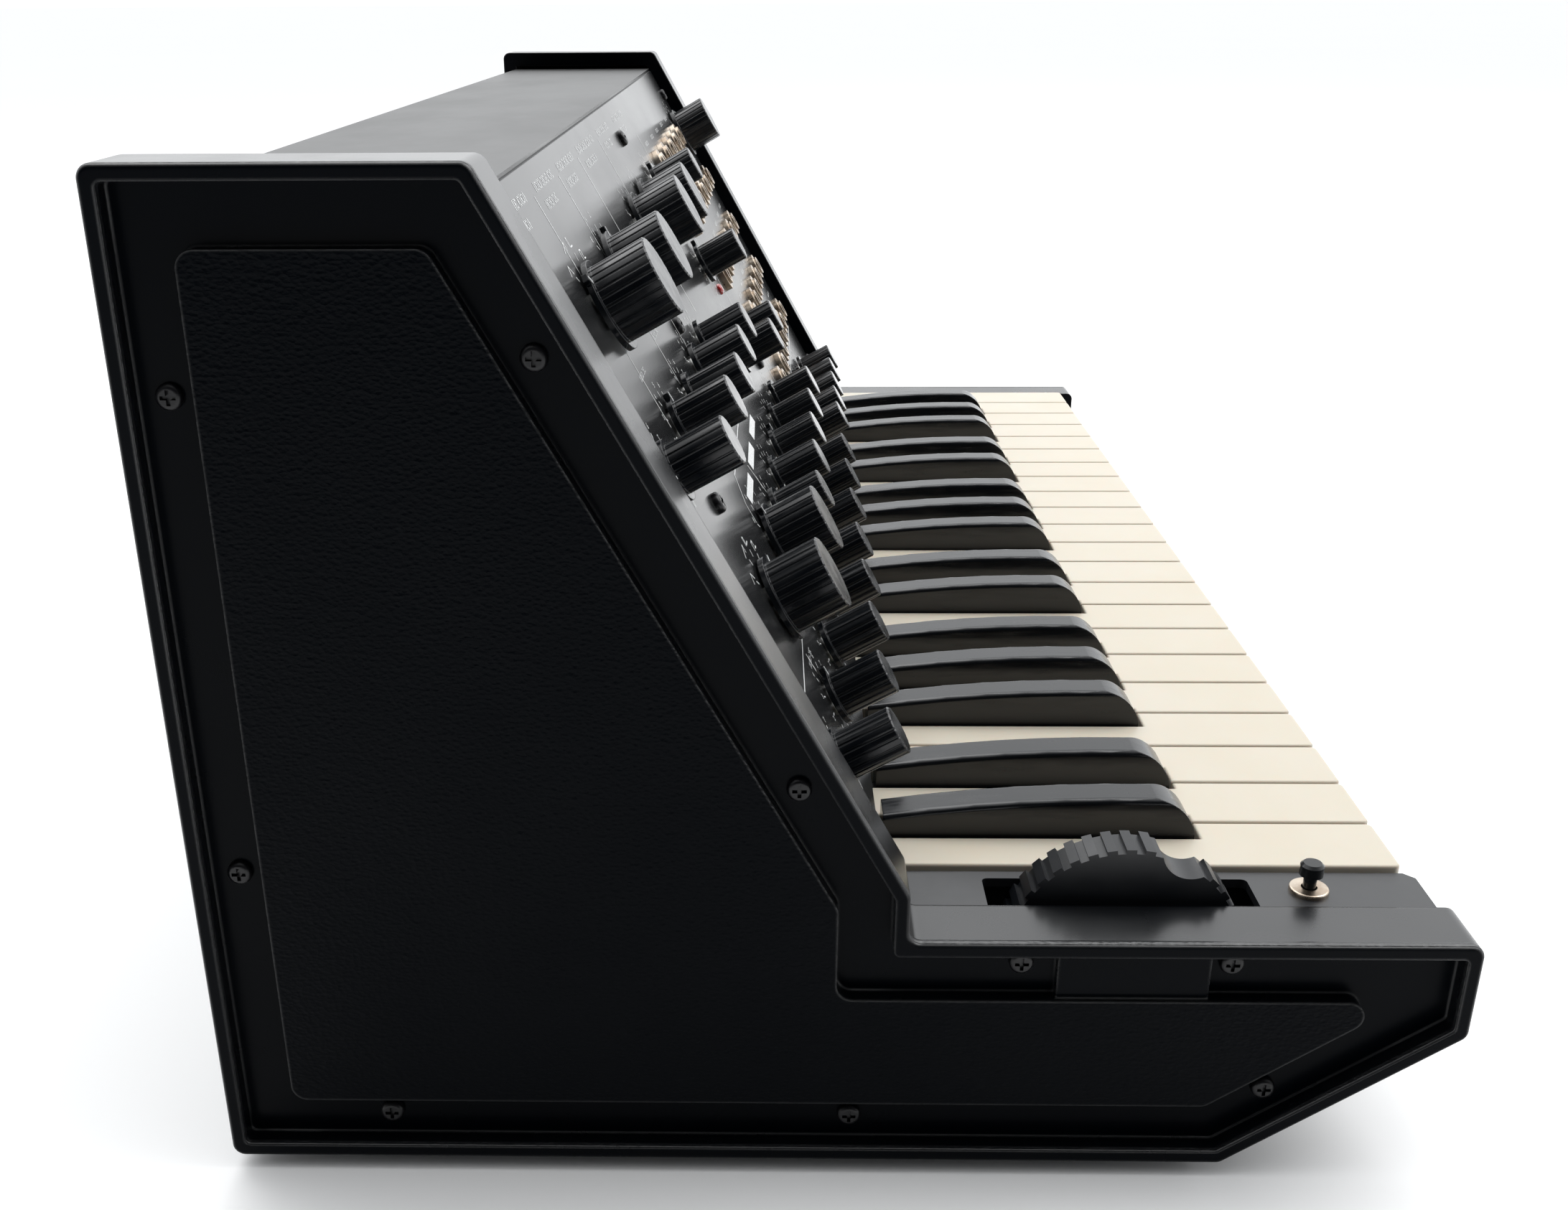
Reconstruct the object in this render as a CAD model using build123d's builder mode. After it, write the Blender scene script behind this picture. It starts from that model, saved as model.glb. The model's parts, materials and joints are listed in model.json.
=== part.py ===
from build123d import *
import os
from collections import namedtuple
from math import cos, hypot, radians, sin

# A semi-modular keyboard synthesizer: an upright sloping panel of knobs and patch sockets
# behind a 37-note keyboard, between two moulded side cheeks.
# Millimetres. +X is the player's right, -Y the player's side, +Z up. Z = 0 is the table.

# ---------------------------------------------------------------- driving dimensions
overall_width = 571.0
overall_depth = 308.0
overall_height = 249.0

foot_height = 8.0
foot_radius = 9.0
cheek_clearance = 4.0          # table to underside of a cheek
cheek_thickness = 18.0
cheek_top_depth = 78.0         # flat top of a cheek, front to back
slope_run = 93.0               # horizontal run of the panel slope
slope_foot_z = 82.0            # where the slope ends, above the keys
deck_z = 69.0                  # top of the cheek beside the keys
nose_z = 43.0                  # lowest point of the vertical front edge
nose_run = 56.0                # depth of the undercut below the nose

rim_width = 3.5                # raised edge round the outside of a cheek
ledge_depth = 6.0              # channel between rim and centre field
field_inset = 17.0             # outline of the centre field, inside the cheek outline
field_drop = 1.2               # centre field below the rim
bridge_drop = 3.0              # block across the channel, below the rim
cheek_wall = 3.0

top_recess = 8.0               # top cover below the cheek tops
panel_recess = 6.0             # control panel below the cheek slopes
rear_recess = 4.0              # rear cover inside the cheek backs
panel_thickness = 2.0
sheet = 1.2                    # steel sheet of the cover
chassis_sheet = 1.5
bend_radius = 2.5

natural_count = 22
key_pitch = 23.45
key_gap = 0.95
key_top_z = 70.4
key_front_y = -146.5
key_body_height = 12.5
key_wall = 1.7
key_notch_y = -98.5            # where the sharps begin
key_cover_y = -9.0             # rear end of the key tops, under the panel
sharp_width = 10.6
sharp_clearance = 1.1
sharp_peak_z = 81.6
sharp_hollow_height = 11.0
pivot_y = 40.0
pivot_z = 63.0
pivot_radius = 2.0
pivot_clearance = 0.35

housing_right_x = -251.2       # key side of the wheel housing
wheel_radius = 30.6
wheel_width = 10.0
wheel_centre = (-73.0, 53.0)   # Y, Z
wheel_left_x = -265.4
wheel_notch_angle = 27.0       # thumb notch, forward of straight up
button_spot = (-260.0, -119.7)

# ---------------------------------------------------------------- derived outline points (Y, Z)
half_width = overall_width / 2
inner_x = half_width - cheek_thickness
front_y = -overall_depth / 2
rear_y = overall_depth / 2
slope_top = (rear_y - cheek_top_depth, overall_height)
slope_foot = (slope_top[0] - slope_run, slope_foot_z)
slope_length = hypot(slope_run, overall_height - slope_foot_z)
slope_y = slope_run / slope_length                         # unit vector down the slope
slope_z = (overall_height - slope_foot_z) / slope_length

cheek_outline = [
    (rear_y, cheek_clearance),
    (rear_y, overall_height),
    slope_top,
    slope_foot,
    (slope_foot[0], deck_z),
    (front_y, deck_z),
    (front_y, nose_z),
    (front_y + nose_run, cheek_clearance),
]


def below_slope(depth, height):
    """Point at a given height on the line that lies depth inside the cheek's slope line."""
    down = (overall_height - slope_y * depth - height) / slope_z
    return (slope_top[0] - slope_y * down + slope_z * depth, height)


top_z = overall_height - top_recess
cover_rear_y = rear_y - rear_recess
fold = below_slope(panel_recess, top_z)
panel_length = slope_length - hypot(fold[0] - slope_top[0] - slope_z * panel_recess,
                                    fold[1] - slope_top[1] + slope_y * panel_recess)

# Plane of the control panel's face: local X is the row's X, local Y runs up the slope,
# and the origin is the middle of the fold between the top cover and the panel.
PANEL = Plane(origin=(0, fold[0], fold[1]), x_dir=(1, 0, 0), z_dir=(0, -slope_z, slope_y))

# ---------------------------------------------------------------- panel layout
Knob = namedtuple("Knob", "name x down size angle")

row_a = 41.0                   # distances down the panel from the fold
row_b = 78.0
row_levels = 81.5
row_env1 = 102.0
row_c = 131.5
row_env2 = 133.0
row_d = 163.5
external_left_x = 75.0         # five knobs of the external signal section
external_pitch = 29.5

KNOBS = [
    Knob("oscillator_1_waveform_knob", -205.0, row_a, "large", -45),
    Knob("oscillator_1_range_knob", -154.0, row_a, "large", 15),
    Knob("highpass_cutoff_knob", -63.0, row_a, "large", -120),
    Knob("lowpass_cutoff_knob", -21.5, row_a, "large", 60),
    Knob("modulation_rate_knob", 33.0, row_a - 4, "small", -20),
    Knob("volume_knob", 240.0, row_a - 6, "large", 40),
    Knob("pulse_width_knob", -242.0, row_b, "small", -90),
    Knob("oscillator_2_pitch_knob", -199.5, row_b, "small", 0),
    Knob("oscillator_1_level_knob", -157.5, row_levels, "small", 110),
    Knob("oscillator_2_level_knob", -117.0, row_levels, "small", 75),
    Knob("filter_peak_knob", -80.0, row_levels, "small", -130),
    Knob("modulation_waveform_knob", 33.0, row_b - 6, "small", 0),
    Knob("envelope_1_attack_knob", -14.0, row_env1, "small", -60),
    Knob("envelope_1_release_knob", 22.0, row_env1, "small", 20),
    Knob("oscillator_2_waveform_knob", -205.0, row_c, "large", 45),
    Knob("oscillator_2_range_knob", -157.0, row_c, "large", -15),
    Knob("envelope_2_hold_knob", -123.5, row_env2, "small", -150),
    Knob("envelope_2_attack_knob", -86.0, row_env2, "small", -100),
    Knob("envelope_2_decay_knob", -48.5, row_env2, "small", 10),
    Knob("envelope_2_sustain_knob", -12.0, row_env2, "small", 80),
    Knob("envelope_2_release_knob", 26.0, row_env2, "small", -40),
    Knob("glide_knob", -245.0, row_d, "small", -150),
    Knob("master_tune_knob", -207.5, row_d, "small", 0),
    Knob("pitch_modulation_1_knob", -170.0, row_d, "small", -150),
    Knob("pitch_modulation_2_knob", -132.5, row_d, "small", -135),
    Knob("highpass_modulation_1_knob", -95.0, row_d, "small", -110),
    Knob("highpass_modulation_2_knob", -55.0, row_d, "small", -150),
    Knob("lowpass_modulation_1_knob", -16.0, row_d, "small", 0),
    Knob("lowpass_modulation_2_knob", 21.0, row_d, "small", 45),
    Knob("external_level_knob", external_left_x, row_d, "small", -150),
    Knob("external_low_cut_knob", external_left_x + external_pitch, row_d, "small", 25),
    Knob("external_high_cut_knob", external_left_x + 2 * external_pitch, row_d, "small", -25),
    Knob("external_voltage_knob", external_left_x + 3 * external_pitch, row_d, "small", 0),
    Knob("external_threshold_knob", external_left_x + 4 * external_pitch, row_d, "small", 90),
]
KNOB_SPOTS = [(knob.x, -knob.down) for knob in KNOBS]

jack_left_x = 78.0
jack_pitch_x = 32.4
jack_rows = [34.0, 60.0, 86.0, 112.0, 138.0]
jack_columns = 6
JACK_SPOTS = [
    (jack_left_x + jack_pitch_x * column, -down)
    for row, down in enumerate(jack_rows)
    for column in range(jack_columns - (row == 0))      # the volume knob takes one place
]

LAMP_SPOT = (47.0, -86.0)
PANEL_SCREWS = [(6.0, -14.5), (-110.0, -67.5), (-209.0, -98.5), (39.0, -118.5), (258.0, -14.5),
                (258.0, -172.0)]
CHEEK_SCREWS = [(143.5, 201.0), (143.5, 85.0), (65.8, 209.1), (9.5, 108.0), (113.0, 14.6),
                (-4.0, 14.6), (-45.0, 60.8), (-96.0, 60.8), (-108.0, 23.8)]
COVER_SCREWS = [(x, z) for x in (-240.0, 0.0, 240.0) for z in (20.0, 225.0)]


# ---------------------------------------------------------------- side cheeks
def crossing(side_a, side_b):
    """Point where two lines meet, each given by two points."""
    (ay, az), (by, bz) = side_a
    (cy, cz), (dy, dz) = side_b
    turn = (by - ay) * (dz - cz) - (bz - az) * (dy - cy)
    along = ((cy - ay) * (dz - cz) - (cz - az) * (dy - cy)) / turn
    return (ay + along * (by - ay), az + along * (bz - az))


def inset_outline(points, inset):
    """Corners of an anticlockwise outline drawn in by inset, without sides that shrink away."""
    sides = []
    for (ay, az), (by, bz) in zip(points, points[1:] + points[:1]):
        length = hypot(by - ay, bz - az)
        shift_y = -(bz - az) / length * inset
        shift_z = (by - ay) / length * inset
        sides.append(((ay + shift_y, az + shift_z), (by + shift_y, bz + shift_z)))
    corners = [crossing(sides[i - 1], sides[i]) for i in range(len(sides))]
    kept = []
    for i, (start, end) in enumerate(sides):
        left_over = (corners[(i + 1) % len(sides)][0] - corners[i][0]) * (end[0] - start[0])
        left_over += (corners[(i + 1) % len(sides)][1] - corners[i][1]) * (end[1] - start[1])
        if left_over > hypot(end[0] - start[0], end[1] - start[1]):
            kept.append((start, end))
    return [crossing(kept[i - 1], kept[i]) for i in range(len(kept))]


def outline_sketch(points, radius=0.0):
    """Flat face inside an outline of (Y, Z) points, with its corners rounded."""
    with BuildSketch() as face:
        with BuildLine():
            Polyline(*points, close=True)
        make_face()
        if radius:
            fillet(face.vertices(), radius=radius)
    return face.sketch


outer_face = outline_sketch(cheek_outline, 3.2)
channel_face = outline_sketch(inset_outline(cheek_outline, rim_width), 1.5)
field_face = outline_sketch(inset_outline(cheek_outline, field_inset), 4.0)
hollow_face = outline_sketch(inset_outline(cheek_outline, rim_width + cheek_wall))
core_face = outline_sketch(inset_outline(cheek_outline, field_inset + cheek_wall))

# A cheek is drawn with its outer face at X = 0 and its inner face at X = cheek_thickness.
boss_radius = 4.5
screw_hole_radius = 1.7
bridge_y = -72.0               # block that crosses the channel under the deck
bridge_width = 37.0
with BuildPart() as cheek_shape:
    with BuildSketch(Plane.YZ):
        add(outer_face)
    extrude(amount=cheek_thickness)
    rim_edges = cheek_shape.faces().sort_by(Axis.X)[0].edges()
    fillet(rim_edges, radius=1.0)
    with BuildSketch(Plane.YZ):
        add(channel_face)
    extrude(amount=ledge_depth, mode=Mode.SUBTRACT)
    with BuildSketch(Plane.YZ.offset(field_drop)):
        add(field_face)
    extrude(amount=ledge_depth - field_drop)
    with BuildSketch(Plane.YZ.offset(bridge_drop)):
        with Locations((bridge_y, deck_z - field_inset / 2 - 1)):
            Rectangle(bridge_width, field_inset)
    extrude(amount=ledge_depth - bridge_drop)
    with BuildSketch(Plane.YZ.offset(ledge_depth + cheek_wall)):
        add(hollow_face)
    extrude(amount=cheek_thickness, mode=Mode.SUBTRACT)
    with BuildSketch(Plane.YZ.offset(field_drop + cheek_wall)):
        add(core_face)
    extrude(amount=ledge_depth, mode=Mode.SUBTRACT)
    with BuildSketch(Plane.YZ.offset(ledge_depth)):
        with Locations(*CHEEK_SCREWS):
            Circle(boss_radius)
    extrude(amount=cheek_thickness - ledge_depth)
    with BuildSketch(Plane.YZ):
        with Locations(*CHEEK_SCREWS):
            Circle(screw_hole_radius)
    extrude(amount=cheek_thickness, mode=Mode.SUBTRACT)

with BuildPart() as left_cheek:
    with Locations((-half_width, 0, 0)):
        add(cheek_shape.part)

with BuildPart() as right_cheek:
    add(mirror(left_cheek.part, about=Plane.YZ, mode=Mode.PRIVATE))


# ---------------------------------------------------------------- sheet metal
def bent_sheet(points, thickness, side):
    """Flat cross-section of a bent sheet whose outer skin follows the (Y, Z) points."""
    with BuildSketch() as section:
        with BuildLine():
            FilletPolyline(*points, radius=bend_radius)
            offset(amount=thickness, side=side)
        make_face()
    return section.sketch


floor_z = foot_height
front_lip_y = key_front_y - 2.4
front_lip_z = 52.0
panel_inner = panel_recess + panel_thickness
cover_inner_z = top_z - sheet
plate_foot = (slope_foot[0] + slope_z * panel_inner, slope_foot[1] - slope_y * panel_inner)
deck_plate_z = deck_z - 2.5
floor_front_y = front_y + nose_run + 3.0
side_plate_outline = [
    (cover_rear_y - sheet, floor_z),
    (cover_rear_y - sheet, cover_inner_z),
    below_slope(panel_inner, cover_inner_z),
    plate_foot,
    (plate_foot[0], deck_plate_z),
    (front_lip_y + 3.5, deck_plate_z),
    (front_lip_y + 3.5, nose_z + 2.5),
    (floor_front_y, floor_z),
]
with BuildPart() as chassis:
    with BuildSketch(Plane.YZ):
        add(bent_sheet([(cover_rear_y - sheet, floor_z), (floor_front_y, floor_z),
                        (front_lip_y, nose_z + 1.5), (front_lip_y, front_lip_z)],
                       chassis_sheet, Side.RIGHT))
    extrude(amount=inner_x, both=True)
    for plate_x in (-inner_x, inner_x - chassis_sheet):
        with BuildSketch(Plane.YZ.offset(plate_x)):
            add(outline_sketch(side_plate_outline, 2.0))
        extrude(amount=chassis_sheet)
    with BuildSketch(Plane.YZ.offset(-inner_x)):
        with Locations(*CHEEK_SCREWS):
            Circle(screw_hole_radius)
    extrude(amount=2 * inner_x, mode=Mode.SUBTRACT)

gland_x = 205.0
gland_z = 45.0
gland_radius = 6.5
with BuildPart() as case_cover:
    with BuildSketch(Plane.YZ):
        add(bent_sheet([(cover_rear_y, floor_z), (cover_rear_y, top_z), fold], sheet, Side.LEFT))
    extrude(amount=inner_x, both=True)
    with BuildSketch(Plane.XZ.offset(-cover_rear_y - 1)):
        with Locations((gland_x, gland_z)):
            Circle(gland_radius)
        with Locations(*COVER_SCREWS):
            Circle(screw_hole_radius)
    extrude(amount=sheet + 4, mode=Mode.SUBTRACT)

pot_hole_radius = 3.7
jack_hole_radius = 4.7
lamp_radius = 2.4
flange_depth = 7.0
with BuildPart() as control_panel:
    with BuildSketch(PANEL):
        with Locations((0, -panel_length / 2)):
            Rectangle(2 * inner_x, panel_length)
        with Locations(*KNOB_SPOTS):
            Circle(pot_hole_radius, mode=Mode.SUBTRACT)
        with Locations(*JACK_SPOTS):
            Circle(jack_hole_radius, mode=Mode.SUBTRACT)
        with Locations(*PANEL_SCREWS):
            Circle(screw_hole_radius, mode=Mode.SUBTRACT)
        with Locations(LAMP_SPOT):
            Circle(lamp_radius, mode=Mode.SUBTRACT)
    extrude(amount=-panel_thickness)
    # The lower edge is folded in, square to the panel, above the keys.
    with BuildSketch(PANEL.offset(-panel_thickness)):
        with Locations((0, -panel_length + sheet / 2)):
            Rectangle(2 * (inner_x - chassis_sheet - 0.5), sheet)
    extrude(amount=-flange_depth)
    # The upper edge is trimmed level, so that the top cover closes against it.
    with BuildSketch(Plane.XY.offset(top_z - sheet)):
        with Locations((0, fold[0])):
            Rectangle(overall_width, 20)
    extrude(amount=20, mode=Mode.SUBTRACT)


# ---------------------------------------------------------------- potentiometers, sockets, lamp
pot_radius = 8.0
pot_depth = 9.0
bush_radius = 3.6
bush_height = 4.5              # bush above the panel face
pot_nut_radius = 4.8
shaft_radius = 3.0
shaft_clearance = 0.35
wheel_pot_depth = 5.4
wheel_pot_x = housing_right_x - 1.8
with BuildPart() as potentiometers:
    with BuildSketch(PANEL.offset(-panel_thickness)):
        with Locations(*KNOB_SPOTS):
            Circle(pot_radius)
            Circle(shaft_radius + shaft_clearance, mode=Mode.SUBTRACT)
    extrude(amount=-pot_depth)
    with BuildSketch(PANEL.offset(-panel_thickness)):
        with Locations(*KNOB_SPOTS):
            Circle(bush_radius)
            Circle(shaft_radius + shaft_clearance, mode=Mode.SUBTRACT)
    extrude(amount=panel_thickness + bush_height)
    with BuildSketch(PANEL):
        with Locations(*KNOB_SPOTS):
            Circle(pot_nut_radius)
            Circle(bush_radius, mode=Mode.SUBTRACT)
    extrude(amount=2.0)
    # The pot of the control wheel is flat and hides inside the wheel.
    with BuildSketch(Plane.YZ.offset(wheel_pot_x)):
        with Locations(wheel_centre):
            Circle(pot_radius)
            Circle(shaft_radius + shaft_clearance, mode=Mode.SUBTRACT)
    extrude(amount=-wheel_pot_depth)

jack_bore_radius = 3.2
jack_bush_radius = 4.6
jack_nut_radius = 6.6
jack_nut_height = 2.2
jack_bush_height = 3.4
jack_body_side = 14.0
jack_body_depth = 21.0
with BuildPart() as jack_sockets:
    with BuildSketch(PANEL.offset(-panel_thickness)):
        with Locations(*JACK_SPOTS):
            Rectangle(jack_body_side, jack_body_side)
    extrude(amount=-jack_body_depth)
    with BuildSketch(PANEL.offset(-panel_thickness)):
        with Locations(*JACK_SPOTS):
            Circle(jack_bush_radius)
    extrude(amount=panel_thickness + jack_bush_height)
    with BuildSketch(PANEL):
        with Locations(*JACK_SPOTS):
            Circle(jack_nut_radius)
    extrude(amount=jack_nut_height)
    with BuildSketch(PANEL.offset(-panel_thickness - jack_body_depth + 1.5)):
        with Locations(*JACK_SPOTS):
            Circle(jack_bore_radius)
    extrude(amount=panel_thickness + jack_body_depth + jack_bush_height, mode=Mode.SUBTRACT)

with BuildPart() as peak_lamp:
    with BuildSketch(PANEL.offset(-panel_thickness - 6)):
        with Locations(LAMP_SPOT):
            Circle(lamp_radius)
    extrude(amount=panel_thickness + 7.5)
    lens_rim = peak_lamp.faces().sort_by(Axis.Z)[-1].edges().filter_by(GeomType.CIRCLE)
    fillet(lens_rim, radius=1.6)

board_thickness = 1.6
main_board_size = (306.0, 154.0)
main_board_middle = (-101.0, -95.0)
main_board_right_x = 50.0
main_board_depth = panel_thickness + pot_depth
jack_board_size = (196.0, 126.0)
jack_board_middle = (jack_left_x + 2.5 * jack_pitch_x, -jack_rows[2])
jack_board_depth = panel_thickness + jack_body_depth
chip_size = (19.0, 6.4)
chip_height = 3.6
chip_spacing = (42.0, 30.0)
capacitor_radius = 4.0
capacitor_height = 11.0
with BuildPart() as circuit_board:
    with BuildSketch(PANEL.offset(-main_board_depth)):
        with Locations(main_board_middle):
            Rectangle(*main_board_size)
        with Locations(*[spot for spot in KNOB_SPOTS if spot[0] < main_board_right_x]):
            Circle(shaft_radius + 1, mode=Mode.SUBTRACT)
    extrude(amount=-board_thickness)
    with BuildSketch(PANEL.offset(-jack_board_depth)):
        with Locations(jack_board_middle):
            Rectangle(*jack_board_size)
    extrude(amount=-board_thickness)
    # Chips in rows, and a few electrolytic capacitors, on the back of the main board.
    with BuildSketch(PANEL.offset(-main_board_depth - board_thickness)):
        with GridLocations(*chip_spacing, 7, 5):
            with Locations(main_board_middle):
                Rectangle(*chip_size)
    extrude(amount=-chip_height)
    with BuildSketch(PANEL.offset(-main_board_depth - board_thickness)):
        with GridLocations(chip_spacing[0], 2 * chip_spacing[1], 6, 2):
            with Locations(main_board_middle):
                Circle(capacitor_radius)
    extrude(amount=-capacitor_height)


# ---------------------------------------------------------------- knobs
KnobSize = namedtuple("KnobSize", "cap flange flutes")
KNOB_SIZES = {"small": KnobSize(6.5, 8.2, 18), "large": KnobSize(10.5, 12.4, 28)}
knob_gap = 0.8                 # panel face to underside of a knob
knob_height = 17.6
flange_height = 1.6
pointer_tab = (2.2, 3.2)
flute_radius = 0.4
nut_pocket_radius = 5.3
nut_pocket_height = 5.2


def knob_shape(size):
    """Knob and its shaft, standing on the panel face at the origin, with the pointer along +Y."""
    with BuildPart() as knob:
        with BuildSketch(Plane.XY.offset(knob_gap)):
            Circle(size.flange)
            with Locations((0, size.flange)):
                Rectangle(*pointer_tab)
        extrude(amount=flange_height)
        with BuildSketch(Plane.XY.offset(knob_gap)):
            Circle(size.cap)
            with PolarLocations(size.cap + 0.15, size.flutes):
                Circle(flute_radius, mode=Mode.SUBTRACT)
        extrude(amount=knob_height - knob_gap)
        cap_edges = knob.faces().sort_by(Axis.Z)[-1].edges()
        chamfer(cap_edges, length=0.35)
        with BuildSketch(Plane.XY.offset(knob_gap)):
            Circle(nut_pocket_radius)
        extrude(amount=nut_pocket_height, mode=Mode.SUBTRACT)
        with BuildSketch(Plane.XY.offset(knob_gap)):
            Circle(shaft_radius)
        extrude(amount=knob_height - knob_gap - 3, mode=Mode.SUBTRACT)
    with BuildPart() as shaft:
        with BuildSketch(Plane.XY.offset(-panel_thickness - pot_depth + 1)):
            Circle(shaft_radius)
        extrude(amount=panel_thickness + pot_depth + knob_height - 4)
    return Compound(children=[knob.part, shaft.part])


knob_shapes = {name: knob_shape(size) for name, size in KNOB_SIZES.items()}
knob_parts = {}
for knob in KNOBS:
    place = PANEL.location * Location((knob.x, -knob.down, 0), (0, 0, -knob.angle))
    knob_parts[knob.name] = knob_shapes[knob.size].moved(place)


# ---------------------------------------------------------------- keys
keys_left_x = housing_right_x + 0.7
SHARP_SHIFT = {"C": -2.6, "D": 2.6, "F": -3.6, "G": 0.0, "A": 3.6}
NOTE_NAMES = "CDEFGAB"
KEY_MOULDS = {"c_and_f_keys": "CF", "d_keys": "D", "e_and_b_keys": "EB", "g_keys": "G", "a_keys": "A"}
key_floor_z = key_top_z - key_body_height
arm_height = 8.0
arm_width = 9.0


def note_at(index):
    """Letter of a natural key, counted from the lowest."""
    return NOTE_NAMES[index % 7]


def has_sharp_after(index):
    """True if a sharp stands between this natural and the next."""
    return 0 <= index < natural_count - 1 and note_at(index) in SHARP_SHIFT


def sharp_x(index):
    """Centre line of the sharp after a natural."""
    return keys_left_x + (index + 1) * key_pitch + SHARP_SHIFT[note_at(index)]


def natural_span(index):
    """Left and right sides of a natural beside the sharps."""
    half_notch = sharp_width / 2 + sharp_clearance
    left = keys_left_x + index * key_pitch + key_gap / 2
    right = left + key_pitch - key_gap
    if has_sharp_after(index - 1):
        left = sharp_x(index - 1) + half_notch
    if has_sharp_after(index):
        right = sharp_x(index) - half_notch
    return left, right


def key_arm(centre_x, width):
    """Lever from the key top back to the pivot rod."""
    with BuildPart() as arm:
        with BuildSketch(Plane.YZ.offset(centre_x - width / 2)):
            with BuildLine():
                Polyline((key_cover_y - 6, pivot_z - arm_height / 2), (pivot_y, pivot_z - arm_height / 2),
                         (pivot_y, pivot_z + arm_height / 2), (key_cover_y - 6, pivot_z + arm_height / 2),
                         close=True)
            make_face()
            with Locations((pivot_y, pivot_z)):
                Circle(arm_height / 2)
                Circle(pivot_radius + pivot_clearance, mode=Mode.SUBTRACT)
        extrude(amount=width)
    return arm.part


def box_sketch(x_span, y_span):
    """Rectangle between two X and two Y values, for use inside a sketch."""
    with Locations(((x_span[0] + x_span[1]) / 2, (y_span[0] + y_span[1]) / 2)):
        Rectangle(x_span[1] - x_span[0], y_span[1] - y_span[0])


def natural_key(index):
    """A white key: a hollow moulding, notched for its sharps, with its lever."""
    left = keys_left_x + index * key_pitch + key_gap / 2
    head = (left, left + key_pitch - key_gap)
    neck = natural_span(index)
    with BuildPart() as key:
        with BuildSketch(Plane.XY.offset(key_floor_z)) as outline:
            box_sketch(head, (key_front_y, key_notch_y))
            box_sketch(neck, (key_notch_y - 1, key_cover_y))
        extrude(amount=key_body_height)
        front_corners = key.edges().filter_by(Axis.Z).group_by(Axis.Y)[0]
        fillet(front_corners, radius=1.6)
        top_edges = key.faces().sort_by(Axis.Z)[-1].edges()
        fillet(top_edges, radius=0.7)
        with BuildSketch(Plane.XY.offset(key_floor_z)):
            offset(outline.sketch, amount=-key_wall)
        extrude(amount=key_body_height - key_wall, mode=Mode.SUBTRACT)
        add(key_arm((neck[0] + neck[1]) / 2, arm_width))
    return key.part


def sharp_key(index):
    """A black key: arched along its length, steep at the front, with rounded upper edges."""
    middle = sharp_x(index)
    sides = (middle - sharp_width / 2, middle + sharp_width / 2)
    heel_y = key_cover_y - 5
    toe_y = key_notch_y + 1.4
    base_z = key_floor_z + 1
    heel = (heel_y, sharp_peak_z - 5.4)
    crest = (key_notch_y + 12, sharp_peak_z - 0.4)
    toe = (toe_y, key_top_z + 0.6)
    with BuildPart() as key:
        with BuildSketch(Plane.YZ.offset(sides[0])):
            with BuildLine():
                ThreePointArc(heel, (key_notch_y + 34, sharp_peak_z - 0.6), crest)
                ThreePointArc(crest, (key_notch_y + 6.0, sharp_peak_z - 3.0), toe)
                Polyline(toe, (toe_y, base_z), (heel_y, base_z), heel)
            make_face()
        extrude(amount=sharp_width)
        crown = [edge for edge in key.edges().filter_by(GeomType.CIRCLE) if edge.length > 20]
        fillet(crown, radius=1.5)
        with BuildSketch(Plane.XY.offset(base_z)):
            box_sketch((sides[0] + key_wall, sides[1] - key_wall), (toe_y + key_wall, heel_y - key_wall))
        extrude(amount=sharp_hollow_height, mode=Mode.SUBTRACT)
        add(key_arm(middle, sharp_width - 4))
    return key.part


key_parts = {}
for mould, letters in KEY_MOULDS.items():
    with BuildPart() as key_set:
        for index in range(natural_count):
            if note_at(index) in letters:
                add(natural_key(index))
    key_parts[mould] = key_set.part
with BuildPart() as sharp_set:
    for index in range(natural_count):
        if has_sharp_after(index):
            add(sharp_key(index))
key_parts["sharp_keys"] = sharp_set.part

# Frame under the keys: a tray on legs, ears between the levers, and one long pivot rod.
frame_floor_z = 38.0
leg_thickness = 2.0
frame_sheet = 1.6
frame_left_x = keys_left_x + 0.1
frame_right_x = inner_x - chassis_sheet - 0.1
frame_front_y = key_front_y + 17.0
frame_rear_y = pivot_y + 16.0
ear_width = 1.6
ear_height = 11.0
leg_rows = (key_notch_y + 10, frame_rear_y - 6)
ear_positions = [frame_left_x, frame_right_x - ear_width]
for index in range(natural_count - 1):
    if not has_sharp_after(index):
        ear_positions.append(keys_left_x + (index + 1) * key_pitch - ear_width / 2)
with BuildPart() as frame_body:
    with BuildSketch(Plane.XY.offset(frame_floor_z)):
        box_sketch((frame_left_x, frame_right_x), (frame_front_y, frame_rear_y))
    extrude(amount=frame_sheet)
    for ear_x in ear_positions:
        with BuildSketch(Plane.YZ.offset(ear_x)):
            with Locations((pivot_y, pivot_z)):
                Circle(ear_height / 2)
            with Locations((pivot_y, (frame_floor_z + pivot_z) / 2)):
                Rectangle(ear_height, pivot_z - frame_floor_z)
            with Locations((pivot_y, pivot_z)):
                Circle(pivot_radius, mode=Mode.SUBTRACT)
        extrude(amount=ear_width)
    for leg_y in leg_rows:
        with BuildSketch(Plane.XY.offset(floor_z + chassis_sheet)):
            box_sketch((frame_left_x, frame_right_x), (leg_y - leg_thickness / 2, leg_y + leg_thickness / 2))
        extrude(amount=frame_floor_z - floor_z - chassis_sheet)
with BuildPart() as pivot_rod:
    with BuildSketch(Plane.YZ.offset(frame_left_x)):
        with Locations((pivot_y, pivot_z)):
            Circle(pivot_radius)
    extrude(amount=frame_right_x - frame_left_x)

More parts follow.
